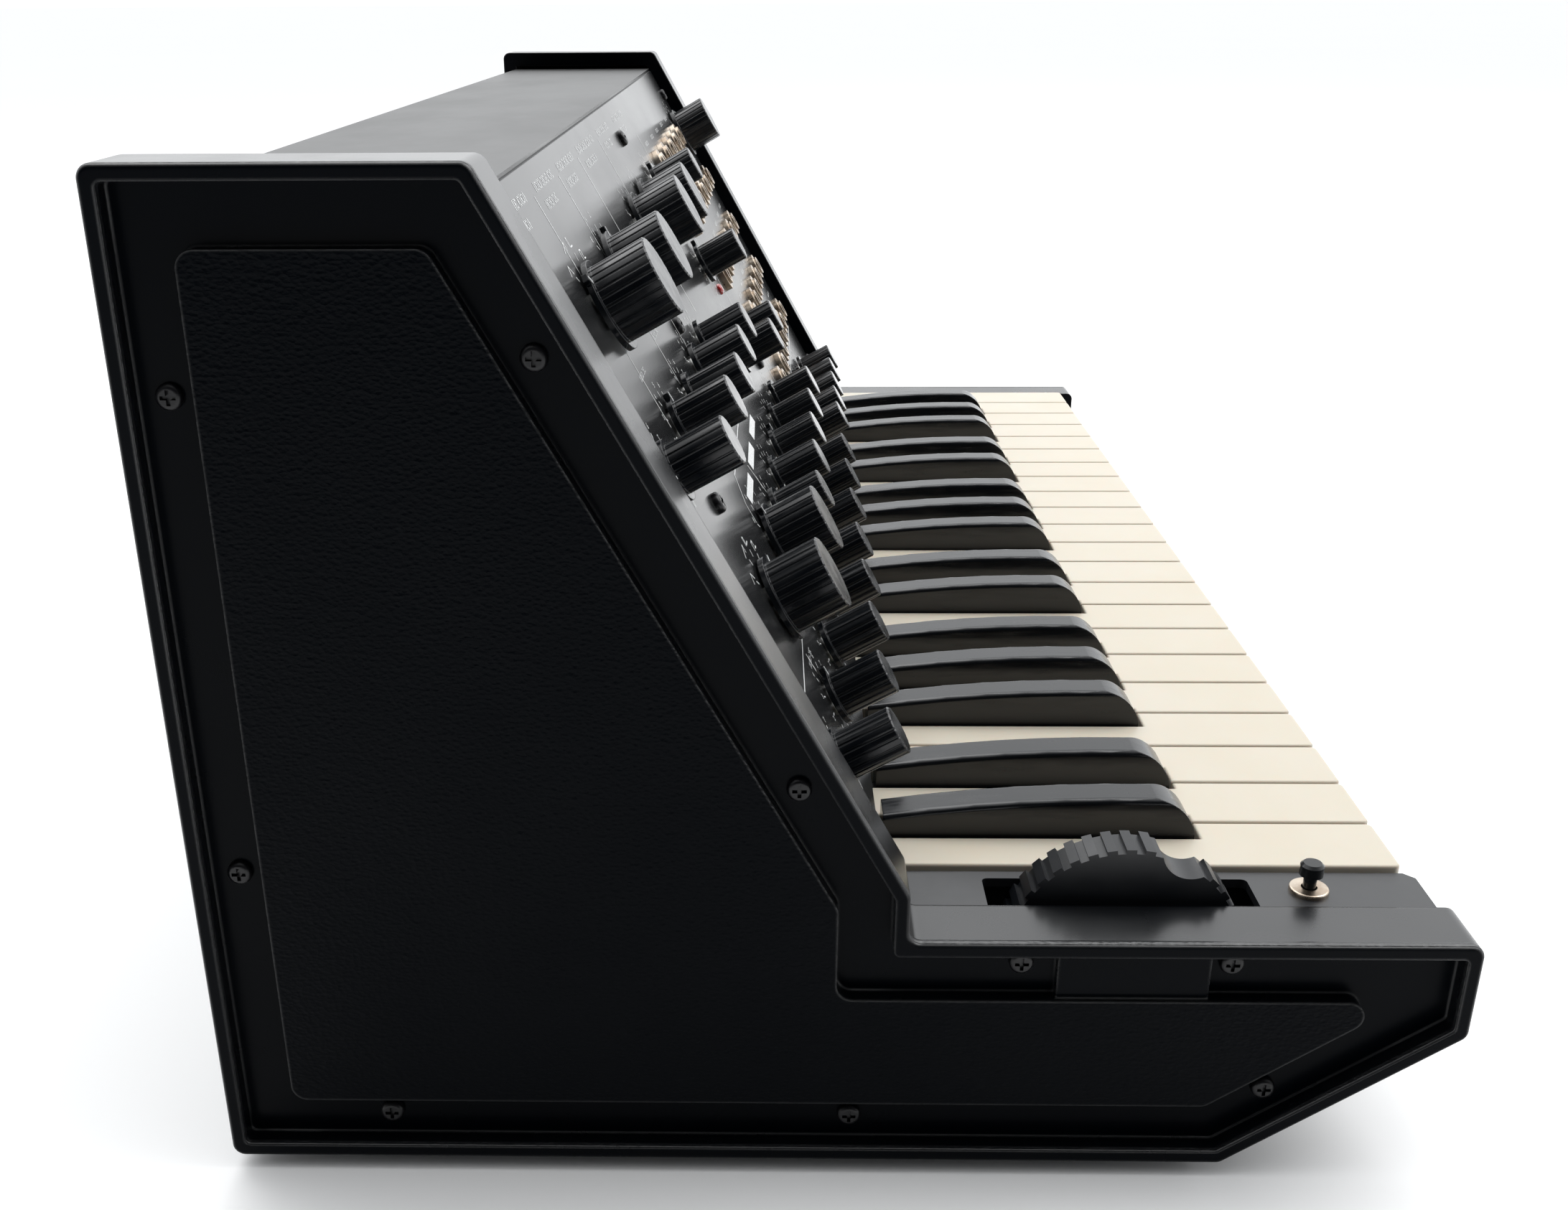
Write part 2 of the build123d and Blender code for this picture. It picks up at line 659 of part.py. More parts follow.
# ---------------------------------------------------------------- wheel, its housing, momentary button
slot_front_y = -105.5
slot_rear_y = -38.0
slot_right_x = -254.6
housing_front_y = front_lip_y
housing_rear_y = plate_foot[0] - 3.0
housing_wall = 1.8
housing_wall_front_y = front_lip_y + 10.0
housing_wall_foot_z = 42.0
button_hole_radius = 3.1
with BuildPart() as wheel_housing:
    with BuildSketch(Plane.XY.offset(deck_plate_z)) as deck_sketch:
        box_sketch((-inner_x, housing_right_x), (housing_front_y, housing_rear_y))
        chamfer(deck_sketch.vertices().sort_by(Axis.X)[-2:].sort_by(Axis.Y)[0], length=2.5)
        with BuildSketch(mode=Mode.PRIVATE) as slot_sketch:
            box_sketch((-inner_x - 5, slot_right_x), (slot_front_y, slot_rear_y))
            fillet(slot_sketch.vertices().group_by(Axis.X)[-1], radius=1.5)
        add(slot_sketch.sketch, mode=Mode.SUBTRACT)
        with Locations(button_spot):
            Circle(button_hole_radius, mode=Mode.SUBTRACT)
    extrude(amount=deck_z - deck_plate_z)
    with BuildSketch(Plane.XY.offset(housing_wall_foot_z)):
        box_sketch((housing_right_x - housing_wall, housing_right_x),
                   (housing_wall_front_y, housing_rear_y))
    extrude(amount=deck_plate_z - housing_wall_foot_z)
    with BuildSketch(Plane.XY.offset(front_lip_z)):
        box_sketch((-inner_x, housing_right_x - 3.0), (housing_front_y, housing_front_y + housing_wall))
    extrude(amount=deck_plate_z - front_lip_z)

ridge_count = 40
ridge_height = 1.1
notch_radius = 7.5
wheel_web = 2.4
wheel_rim = 5.0
notch_direction = radians(90 + wheel_notch_angle)
notch_centre = (
    wheel_centre[0] + (wheel_radius + 3.0) * cos(notch_direction),
    wheel_centre[1] + (wheel_radius + 3.0) * sin(notch_direction),
)
with BuildPart() as control_wheel:
    with BuildSketch(Plane.YZ.offset(wheel_left_x)):
        with Locations(wheel_centre):
            Circle(wheel_radius - ridge_height)
            with PolarLocations(wheel_radius - ridge_height, ridge_count):
                Rectangle(2 * ridge_height, 2.5)
        with Locations(notch_centre):
            Circle(notch_radius, mode=Mode.SUBTRACT)
    extrude(amount=wheel_width)
    with BuildSketch(Plane.YZ.offset(wheel_left_x + wheel_web)):
        with Locations(wheel_centre):
            Circle(wheel_radius - ridge_height - wheel_rim)
    extrude(amount=wheel_width, mode=Mode.SUBTRACT)
    with BuildSketch(Plane.YZ.offset(wheel_left_x + wheel_web)):
        with Locations(wheel_centre):
            Circle(shaft_radius)
    extrude(amount=wheel_pot_x - wheel_left_x - wheel_web - 0.6)

button_bore_radius = 2.0
button_stem_radius = 1.65
collar_radius = 4.9
collar_height = 1.2
switch_height = 10.0
switch_floor_z = 46.0
with BuildPart() as button_bush:
    with BuildSketch(Plane.XY.offset(deck_z)):
        with Locations(button_spot):
            Circle(collar_radius)
    extrude(amount=collar_height)
    collar_rim = button_bush.faces().sort_by(Axis.Z)[-1].edges()
    fillet(collar_rim, radius=0.5)
    with BuildSketch(Plane.XY.offset(switch_floor_z + switch_height)):
        with Locations(button_spot):
            Circle(button_hole_radius)
    extrude(amount=deck_z - switch_floor_z - switch_height)
    with BuildSketch(Plane.XY.offset(switch_floor_z)):
        with Locations(button_spot):
            Rectangle(10.0, 12.0)
    extrude(amount=switch_height)
    with BuildSketch(Plane.XY.offset(switch_floor_z + 2)):
        with Locations(button_spot):
            Circle(button_bore_radius)
    extrude(amount=deck_z, mode=Mode.SUBTRACT)

button_cap_radius = 2.95
button_cap_height = 3.4
button_top_z = 77.2
stem_floor_z = switch_floor_z + 5
with BuildPart() as momentary_button:
    with BuildSketch(Plane.XY.offset(button_top_z - button_cap_height)):
        with Locations(button_spot):
            Circle(button_cap_radius)
    extrude(amount=button_cap_height)
    cap_rim = momentary_button.faces().sort_by(Axis.Z)[-1].edges()
    chamfer(cap_rim, length=0.7)
    with BuildSketch(Plane.XY.offset(stem_floor_z)):
        with Locations(button_spot):
            Circle(button_stem_radius)
    extrude(amount=button_top_z - button_cap_height - stem_floor_z)

# ---------------------------------------------------------------- power supply, gland, feet, screws
transformer_spot = (200.0, 105.0)
core_size = (56.0, 22.0, 40.0)
coil_size = (39.0, 44.0, 24.0)
bracket_size = (80.0, 20.0, 2.0)
with BuildPart() as power_transformer:
    for size, raise_by in ((bracket_size, 0.0), (core_size, 0.0), (coil_size, 8.0)):
        with BuildSketch(Plane.XY.offset(floor_z + chassis_sheet + raise_by)):
            with Locations(transformer_spot):
                Rectangle(size[0], size[1])
        extrude(amount=size[2])

cord_bore_radius = 3.6
gland_flange = 3.0
gland_length = 9.0
with BuildPart() as cord_gland:
    with BuildSketch(Plane.XZ.offset(-cover_rear_y - gland_flange)):
        with Locations((gland_x, gland_z)):
            Circle(gland_radius + 2.5)
            Circle(cord_bore_radius, mode=Mode.SUBTRACT)
    extrude(amount=gland_flange)
    with BuildSketch(Plane.XZ.offset(-cover_rear_y)):
        with Locations((gland_x, gland_z)):
            Circle(gland_radius)
            Circle(cord_bore_radius, mode=Mode.SUBTRACT)
    extrude(amount=gland_length)

foot_spots = [(x, y) for x in (-232.0, 232.0) for y in (-78.0, 128.0)]
with BuildPart() as rubber_feet:
    with BuildSketch(Plane.XY.offset(foot_height)):
        with Locations(*foot_spots):
            Circle(foot_radius)
    extrude(amount=-foot_height, taper=6)

screw_head_radius = 3.0
screw_head_height = 1.9
screw_shank_radius = 1.5
cross_width = 0.9
cross_length = 3.4


def screw(shank):
    """Pan-head screw at the origin: the head rises along +Z from the seat, the shank goes down."""
    with BuildPart() as fastener:
        with BuildSketch():
            Circle(screw_head_radius)
        extrude(amount=screw_head_height)
        head_rim = fastener.faces().sort_by(Axis.Z)[-1].edges()
        fillet(head_rim, radius=1.2)
        with BuildSketch():
            Circle(screw_shank_radius)
        extrude(amount=-shank)
        with BuildSketch(Plane.XY.offset(screw_head_height)):
            Rectangle(cross_length, cross_width)
            Rectangle(cross_width, cross_length)
        extrude(amount=-1.0, mode=Mode.SUBTRACT)
    return fastener.part


cheek_screw = screw(cheek_thickness - ledge_depth + chassis_sheet)
sheet_screw = screw(6.0)
cheek_floor_x = half_width - ledge_depth
screw_places = [Location((-cheek_floor_x, y, z), (0, -90, 0)) for y, z in CHEEK_SCREWS]
screw_places += [Location((cheek_floor_x, y, z), (0, 90, 0)) for y, z in CHEEK_SCREWS]
sheet_places = [PANEL.location * Location((x, y, 0)) for x, y in PANEL_SCREWS]
sheet_places += [Location((x, cover_rear_y, z), (-90, 0, 0)) for x, z in COVER_SCREWS]
with BuildPart() as screws:
    with Locations(*screw_places):
        add(cheek_screw)
    with Locations(*sheet_places):
        add(sheet_screw)

# ---------------------------------------------------------------- output
os.makedirs("parts", exist_ok=True)
key_frame = Compound(children=[frame_body.part, pivot_rod.part])
pieces = {
    "left_cheek": left_cheek.part,
    "right_cheek": right_cheek.part,
    "chassis": chassis.part,
    "case_cover": case_cover.part,
    "control_panel": control_panel.part,
    "potentiometers": potentiometers.part,
    "jack_sockets": jack_sockets.part,
    "peak_lamp": peak_lamp.part,
    "circuit_board": circuit_board.part,
    "key_frame": key_frame,
    "wheel_housing": wheel_housing.part,
    "control_wheel": control_wheel.part,
    "button_bush": button_bush.part,
    "momentary_button": momentary_button.part,
    "power_transformer": power_transformer.part,
    "cord_gland": cord_gland.part,
    "rubber_feet": rubber_feet.part,
    "screws": screws.part,
    **key_parts,
    **knob_parts,
}
for name, piece in pieces.items():
    piece.label = name
    export_step(piece, f"parts/{name}.step")
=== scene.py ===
import json
from math import cos, radians, sin

import bmesh
import bpy
from mathutils import Matrix, Vector


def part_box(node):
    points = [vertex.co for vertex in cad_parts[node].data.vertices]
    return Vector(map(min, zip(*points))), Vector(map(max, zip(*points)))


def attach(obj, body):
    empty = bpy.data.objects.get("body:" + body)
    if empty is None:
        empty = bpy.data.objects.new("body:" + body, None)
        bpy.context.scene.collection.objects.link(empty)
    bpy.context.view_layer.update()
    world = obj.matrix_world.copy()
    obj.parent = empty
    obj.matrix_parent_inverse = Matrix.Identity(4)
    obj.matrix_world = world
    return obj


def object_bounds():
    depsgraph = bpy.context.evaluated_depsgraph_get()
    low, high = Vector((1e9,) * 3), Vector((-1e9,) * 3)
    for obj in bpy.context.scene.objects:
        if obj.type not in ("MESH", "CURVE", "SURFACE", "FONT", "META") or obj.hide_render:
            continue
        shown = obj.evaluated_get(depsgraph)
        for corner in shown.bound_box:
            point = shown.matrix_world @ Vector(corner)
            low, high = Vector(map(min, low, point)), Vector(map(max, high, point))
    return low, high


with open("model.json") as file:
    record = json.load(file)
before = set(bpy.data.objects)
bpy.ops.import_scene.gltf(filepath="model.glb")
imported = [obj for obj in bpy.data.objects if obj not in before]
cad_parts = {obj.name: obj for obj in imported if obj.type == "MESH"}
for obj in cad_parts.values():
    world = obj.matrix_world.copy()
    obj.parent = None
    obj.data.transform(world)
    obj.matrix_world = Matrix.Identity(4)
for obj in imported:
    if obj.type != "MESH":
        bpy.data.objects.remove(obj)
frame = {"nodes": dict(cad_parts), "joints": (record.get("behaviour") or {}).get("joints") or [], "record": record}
cad_low, cad_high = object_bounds()

MM = 0.001
record = frame["record"]
joints = {joint["child"]: joint for joint in frame["joints"]}


# ---------------------------------------------------------------- the control panel as a drawing board
# Markings are drawn in millimetres: x to the player's right, down the slope from the panel's upper fold.
KNOBS = {child: joint for child, joint in joints.items() if child.endswith("_knob")}
first_knob = next(iter(KNOBS.values()))
panel_out = Vector(first_knob["axis"]).normalized()
panel_right = Vector((1, 0, 0))
panel_up = panel_out.cross(panel_right)
fold_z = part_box("case_cover")[1].z
on_face = Vector(first_knob["pos_m"])
panel_origin = on_face + panel_up * ((fold_z - on_face.z) / panel_up.z)
panel_origin.x = 0
PANEL = Matrix.Translation(panel_origin) @ Matrix((panel_right, panel_up, panel_out)).transposed().to_4x4()
INK_HEIGHT = 0.06              # printed ink above the face


def panel_place(position):
    """(x, down) in millimetres of a point on the panel's face."""
    local = PANEL.inverted() @ Vector(position)
    return local.x / MM, -local.y / MM


def half_width_of(node):
    """Half of a node's size along X, in millimetres."""
    low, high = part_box(node)
    return (high.x - low.x) / 2 / MM


KNOB_PLACES = {name: panel_place(joint["pos_m"]) for name, joint in KNOBS.items()}
SOCKETS = [panel_place(mount["pos_m"]) for mount in record["mounts"] if mount["name"].startswith("patch_socket")]
SELECTORS = [name for name, joint in KNOBS.items() if joint["range_deg"][1] - joint["range_deg"][0] < 180]
LARGE_RADIUS = 11.0            # knobs wider than this are the large ones


# ---------------------------------------------------------------- materials
class Paint:
    """A material under construction: a Principled shader and helpers that wire procedural detail to it."""

    def __init__(self, name, colour, roughness, **sockets):
        self.material = bpy.data.materials.new(name)
        self.material.use_nodes = True
        self.tree = self.material.node_tree
        self.shader = self.tree.nodes["Principled BSDF"]
        self.shader.inputs["Base Color"].default_value = (*colour, 1)
        self.shader.inputs["Roughness"].default_value = roughness
        for socket, value in sockets.items():
            self.shader.inputs[socket.replace("_", " ")].default_value = value
        self.place = self.node("ShaderNodeTexCoord").outputs["Object"]

    def node(self, kind, links=None, **settings):
        """A node with its settings, and its inputs linked or set by name or number."""
        made = self.tree.nodes.new(kind)
        for key, value in settings.items():
            setattr(made, key, value)
        for socket, value in (links or {}).items():
            if isinstance(value, bpy.types.NodeSocket):
                self.tree.links.new(value, made.inputs[socket])
            else:
                made.inputs[socket].default_value = value
        return made

    def stretched(self, scale):
        """The object's own coordinates, stretched along each axis."""
        return self.node("ShaderNodeMapping", {"Vector": self.place, "Scale": scale}).outputs["Vector"]

    def noise(self, size_mm, detail=4.0, stretch=(1, 1, 1), roughness=0.55):
        """Cloudy noise from 0 to 1 with features of about that size."""
        links = {"Vector": self.stretched(stretch), "Scale": 1 / (size_mm * MM), "Detail": detail,
                 "Roughness": roughness}
        return self.node("ShaderNodeTexNoise", links).outputs["Fac"]

    def cells(self, size_mm, stretch=(1, 1, 1), feature="F1"):
        """Distance to the nearest cell centre or edge of a pebbled pattern."""
        links = {"Vector": self.stretched(stretch), "Scale": 1 / (size_mm * MM)}
        return self.node("ShaderNodeTexVoronoi", links, feature=feature).outputs["Distance"]

    def math(self, operation, a, b=0.0, clamp=False):
        """The result of one maths step."""
        return self.node("ShaderNodeMath", {0: a, 1: b}, operation=operation, use_clamp=clamp).outputs[0]

    def spread(self, value, low, high, to_low=0.0, to_high=1.0):
        """A value carried from one range to another, smoothly, and held at its ends."""
        links = {"Value": value, "From Min": low, "From Max": high, "To Min": to_low, "To Max": to_high}
        return self.node("ShaderNodeMapRange", links, interpolation_type="SMOOTHSTEP").outputs["Result"]

    def mix(self, amount, first, second):
        """One colour or the other by amount."""
        made = self.node("ShaderNodeMix", {"Factor": amount}, data_type="RGBA")
        for socket, colour in zip((made.inputs[6], made.inputs[7]), (first, second)):
            if isinstance(colour, bpy.types.NodeSocket):
                self.tree.links.new(colour, socket)
            else:
                socket.default_value = (*colour, 1)
        return made.outputs[2]

    def axis(self, letter):
        """One of the object's own coordinates, in metres."""
        return self.node("ShaderNodeSeparateXYZ", {0: self.place}).outputs[letter]

    def colour(self, value):
        self.tree.links.new(value, self.shader.inputs["Base Color"])

    def rough(self, value):
        self.tree.links.new(value, self.shader.inputs["Roughness"])

    def bump(self, height, depth_mm, strength=1.0):
        """A bump of that depth; each call adds to the one before."""
        before = self.shader.inputs["Normal"]
        links = {"Height": height, "Distance": depth_mm * MM, "Strength": strength}
        if before.is_linked:
            links["Normal"] = before.links[0].from_socket
        self.tree.links.new(self.node("ShaderNodeBump", links).outputs["Normal"], before)

    def soft_edges(self, width_mm):
        """Round the shading of sharp edges, so that they catch a thin highlight; returns the normal."""
        bevel = self.node("ShaderNodeBevel", {"Radius": width_mm * MM}, samples=4)
        self.tree.links.new(bevel.outputs[0], self.shader.inputs["Normal"])
        return bevel.outputs[0]

    def worn_edges(self, width_mm=0.4):
        """1 on sharp edges, 0 on flats: where surfaces are rubbed and grimed, and where the knobs carry a painted
        rim highlight.
        """
        bevel = self.node("ShaderNodeBevel", {"Radius": width_mm * MM}, samples=4)
        normal = self.node("ShaderNodeNewGeometry").outputs["Normal"]
        dot = self.node("ShaderNodeVectorMath", {0: bevel.outputs[0], 1: normal}, operation="DOT_PRODUCT")
        return self.spread(dot.outputs["Value"], 0.98, 0.80)


def cheek_plastic():
    """Black moulding: satin rim and channel, leather grain on the raised centre field."""
    black = (0.0006, 0.0012, 0.0022)
    paint = Paint("cheek_plastic", black, 0.34)
    rounded = paint.soft_edges(1.1)
    depth = paint.math("SUBTRACT", cad_high.x, paint.math("ABSOLUTE", paint.axis("X")))
    above_rim = paint.spread(depth, 0.5 * MM, 0.9 * MM)
    below_field = paint.spread(depth, 2.4 * MM, 1.8 * MM)
    field = paint.math("MULTIPLY", above_rim, below_field)
    grain = paint.cells(1.1, stretch=(1, 0.75, 1.2))
    creases = paint.noise(1.3, detail=2, stretch=(1, 0.8, 1.2))
    leather = paint.math("ADD", paint.math("MULTIPLY", grain, 0.6), paint.math("MULTIPLY", creases, 0.8))
    paint.bump(paint.math("MULTIPLY", leather, field), 0.26, 1.0)
    paint.bump(paint.noise(0.5, detail=2), 0.010, 0.6)
    smudges = paint.spread(paint.noise(38, detail=5), 0.35, 0.75, 0.0, 0.08)
    paint.rough(paint.math("ADD", paint.spread(field, 0, 1, 0.24, 0.42), smudges))
    dust = paint.spread(paint.noise(5, detail=8), 0.64, 0.82, 0.0, 0.3)
    paint.colour(paint.mix(dust, black, (0.006, 0.007, 0.009)))
    # Painted shade and highlight: the reflection is set by which way a face points. The big outer faces reflect
    # almost nothing and read near black, while edges and ledges reflect fully and catch highlights.
    sideways = paint.math("ABSOLUTE", paint.node("ShaderNodeSeparateXYZ", {0: rounded}).outputs["X"])
    shade_and_highlight_by_facing = paint.spread(sideways, 0.60, 0.99, 1.0, 0.045)
    paint.tree.links.new(shade_and_highlight_by_facing, paint.shader.inputs["Specular IOR Level"])
    return paint.material


def panel_paint():
    """Satin black baked paint on sheet steel, with a faint orange peel and a few wiped marks."""
    black = (0.012, 0.0125, 0.013)
    paint = Paint("panel_paint", black, 0.17, Specular_IOR_Level=0.34)
    paint.bump(paint.noise(1.4, detail=3), 0.003, 0.8)
    wiped = paint.spread(paint.noise(45, detail=6, stretch=(0.5, 1, 1)), 0.3, 0.8, 0.18, 0.24)
    # The top cover is duller than the panel, which is wiped more often.
    normal = paint.node("ShaderNodeNewGeometry").outputs["Normal"]
    upward = paint.node("ShaderNodeSeparateXYZ", {0: normal}).outputs["Z"]
    paint.rough(paint.math("ADD", wiped, paint.spread(upward, 0.70, 0.95, 0.0, 0.20)))
    dust = paint.spread(paint.noise(3, detail=9), 0.66, 0.82, 0.0, 0.4)
    paint.colour(paint.mix(dust, black, (0.03, 0.03, 0.03)))
    return paint.material


def chassis_steel():
    """Semi-matt black paint on the steel tray."""
    black = (0.018, 0.018, 0.019)
    paint = Paint("chassis_steel", black, 0.45)
    paint.bump(paint.noise(0.8, detail=3), 0.01, 0.7)
    paint.rough(paint.spread(paint.noise(25, detail=5), 0.3, 0.7, 0.38, 0.55))
    lighter_edges = paint.math("MULTIPLY", paint.worn_edges(), paint.spread(paint.noise(6), 0.45, 0.6))
    paint.colour(paint.mix(lighter_edges, black, (0.16, 0.16, 0.165)))
    return paint.material


def steel(name, colour, roughness):
    """Plated steel with fine rolling lines and dull patches."""
    paint = Paint(name, colour, roughness, Metallic=1.0)
    lines = paint.noise(0.5, detail=2, stretch=(0.03, 1, 1))
    paint.bump(lines, 0.01, 0.5)
    patches = paint.noise(12, detail=6)
    paint.rough(paint.spread(patches, 0.3, 0.7, roughness - 0.08, roughness + 0.14))
    dull = tuple(0.72 * part for part in colour)
    paint.colour(paint.mix(paint.spread(patches, 0.45, 0.7), colour, dull))
    return paint.material


def nickel():
    """Warm nickel plate, browner in patches, with fine rubbing marks."""
    paint = Paint("nickel", (0.52, 0.45, 0.37), 0.3, Metallic=1.0)
    paint.soft_edges(0.3)
    tarnish = paint.spread(paint.noise(9, detail=4), 0.40, 0.70)
    paint.colour(paint.mix(tarnish, (0.55, 0.48, 0.40), (0.36, 0.28, 0.21)))
    paint.rough(paint.spread(paint.noise(3, detail=4), 0.3, 0.7, 0.24, 0.40))
    paint.bump(paint.noise(0.6, detail=2), 0.002, 0.5)
    return paint.material


def lamp_lens():
    """Clear red lens with faint moulded facets."""
    paint = Paint("lamp_lens", (0.33, 0.012, 0.010), 0.12, Coat_Weight=0.6)
    paint.bump(paint.cells(0.9), 0.05, 0.5)
    paint.colour(paint.mix(paint.noise(1.5), (0.40, 0.015, 0.012), (0.22, 0.008, 0.008)))
    return paint.material


def board_laminate():
    """Tan phenolic board with fine paper grain."""
    paint = Paint("board_laminate", (0.36, 0.26, 0.11), 0.42)
    weave = paint.noise(1.2, detail=5, stretch=(0.2, 1, 1))
    paint.bump(weave, 0.02, 0.5)
    paint.colour(paint.mix(paint.spread(weave, 0.3, 0.7), (0.40, 0.29, 0.13), (0.26, 0.19, 0.08)))
    paint.rough(paint.spread(paint.noise(20), 0.3, 0.7, 0.32, 0.5))
    return paint.material


def moulded(name, colour, roughness, grain_mm=0.5, grain_depth=0.01, specular=0.5):
    """Plain moulded black plastic with a very fine texture and light handling marks."""
    paint = Paint(name, colour, roughness, Specular_IOR_Level=specular)
    paint.bump(paint.noise(grain_mm, detail=3), grain_depth, 0.7)
    handled = paint.spread(paint.noise(14, detail=6), 0.3, 0.75, roughness - 0.05, roughness + 0.10)
    paint.rough(handled)
    dusty = tuple(part + 0.012 for part in colour)
    dust = paint.spread(paint.noise(2.2, detail=8), 0.64, 0.80, 0.0, 0.5)
    paint.colour(paint.mix(dust, colour, dusty))
    return paint.material


def knob_plastic():
    """Glossy black knob plastic, faintly uneven, with lighter edges: partly rubbed wear, partly a painted rim
    highlight.
    """
    colour = (0.0028, 0.0038, 0.0055)
    paint = Paint("knob_plastic", colour, 0.2, Specular_IOR_Level=0.42)
    paint.soft_edges(0.35)
    paint.bump(paint.noise(0.9, detail=3), 0.002, 0.5)
    paint.rough(paint.spread(paint.noise(7, detail=7), 0.3, 0.75, 0.15, 0.26))
    # Lighter edges: partly rubbed wear, partly a painted highlight along the rims and flutes.
    lighter_edges = paint.math("MULTIPLY", paint.worn_edges(0.25), 0.35)
    paint.colour(paint.mix(lighter_edges, colour, (0.085, 0.088, 0.092)))
    return paint.material


def natural_keys():
    """Warm ivory plastic: polished, faintly mottled, with a little grime along the edges."""
    ivory = (0.518, 0.475, 0.397)
    paint = Paint("natural_key_plastic", ivory, 0.26, Subsurface_Weight=0.12, Subsurface_Scale=0.002,
                  Specular_IOR_Level=0.25)
    paint.soft_edges(0.7)
    mottled = paint.spread(paint.noise(30, detail=4), 0.3, 0.7)
    aged = paint.mix(mottled, ivory, (0.508, 0.461, 0.375))
    grime = paint.math("MULTIPLY", paint.worn_edges(0.6), paint.spread(paint.noise(9, detail=5), 0.3, 0.75))
    paint.colour(paint.mix(paint.math("MULTIPLY", grime, 0.3), aged, (0.48, 0.43, 0.35)))
    paint.rough(paint.spread(paint.noise(24, detail=4), 0.3, 0.75, 0.30, 0.34))
    paint.bump(paint.noise(0.8, detail=2), 0.0015, 0.4)
    return paint.material


def sharp_keys():
    """Polished black keys with fine lengthwise wear."""
    colour = (0.0035, 0.0045, 0.006)
    paint = Paint("sharp_key_plastic", colour, 0.18, Specular_IOR_Level=0.5)
    paint.soft_edges(0.5)
    scuffs = paint.noise(1.8, detail=7, stretch=(1, 0.12, 1))
    paint.rough(paint.spread(scuffs, 0.35, 0.75, 0.14, 0.30))
    paint.bump(paint.noise(1.0, detail=3), 0.002, 0.5)
    paint.colour(paint.mix(paint.spread(scuffs, 0.6, 0.8, 0, 0.4), colour, (0.014, 0.015, 0.017)))
    return paint.material


def printed_ink():
    """Silk-screened white ink, thin and slightly broken."""
    paint = Paint("printed_ink", (0.75, 0.76, 0.76), 0.5)
    thin = paint.spread(paint.noise(0.35, detail=3), 0.40, 0.62)
    paint.colour(paint.mix(thin, (0.52, 0.53, 0.53), (0.80, 0.81, 0.81)))
    paint.bump(paint.noise(0.2), 0.01, 0.4)
    return paint.material


def rubber():
    """Matt rubber with a dusty bloom."""
    paint = Paint("foot_rubber", (0.02, 0.02, 0.02), 0.8)
    paint.bump(paint.noise(0.6, detail=4), 0.03, 0.8)
    paint.colour(paint.mix(paint.spread(paint.noise(6, detail=6), 0.4, 0.7), (0.018, 0.018, 0.018),
                           (0.05, 0.048, 0.045)))
    return paint.material


MATERIALS = {
    "cheek_plastic": cheek_plastic(),
    "panel_paint": panel_paint(),
    "chassis_steel": chassis_steel(),
    "plated_steel": steel("plated_steel", (0.60, 0.60, 0.57), 0.35),
    "potentiometer_steel": steel("potentiometer_steel", (0.62, 0.62, 0.60), 0.30),
    "nickel": nickel(),
    "lamp_lens": lamp_lens(),
    "board_laminate": board_laminate(),
    "housing_plastic": moulded("housing_plastic", (0.012, 0.013, 0.015), 0.34, 0.6, 0.006, 0.7),
    "wheel_plastic": moulded("wheel_plastic", (0.006, 0.007, 0.009), 0.34, 0.5, 0.006, 0.40),
    "button_plastic": moulded("button_plastic", (0.008, 0.009, 0.010), 0.16, 0.8, 0.004),
    "transformer_iron": steel("transformer_iron", (0.22, 0.21, 0.20), 0.5),
    "gland_plastic": moulded("gland_plastic", (0.012, 0.012, 0.012), 0.42),
    "foot_rubber": rubber(),
    "black_screw": moulded("black_screw", (0.004, 0.004, 0.005), 0.30, 0.4, 0.010, 0.3),
    "sharp_key_plastic": sharp_keys(),
    "natural_key_plastic": natural_keys(),
    "knob_plastic": knob_plastic(),
}
for subpart in record["subparts"]:
    shape = frame["nodes"][subpart["node"]].data
    shape.materials.clear()
    shape.materials.append(MATERIALS[subpart["material_slot"]])


# ---------------------------------------------------------------- printed markings
INK = printed_ink()
LINE = 0.45                    # width of a printed rule
TICK = 0.40                    # width of a scale tick
LARGE_SCALE = 12.4             # radius of the scale round a large knob
SMALL_SCALE = 8.2
SELECTOR_SCALE = 14            # the widest scale round a selector
SECTION_RULES = [-209.0, -161.0, -113.3, -52.0]
HEADERS = [(-236.0, 40.0), (-185.0, 34.0), (-138.0, 36.0), (-84.0, 46.0), (-28.0, 36.0), (33.0, 40.0)]


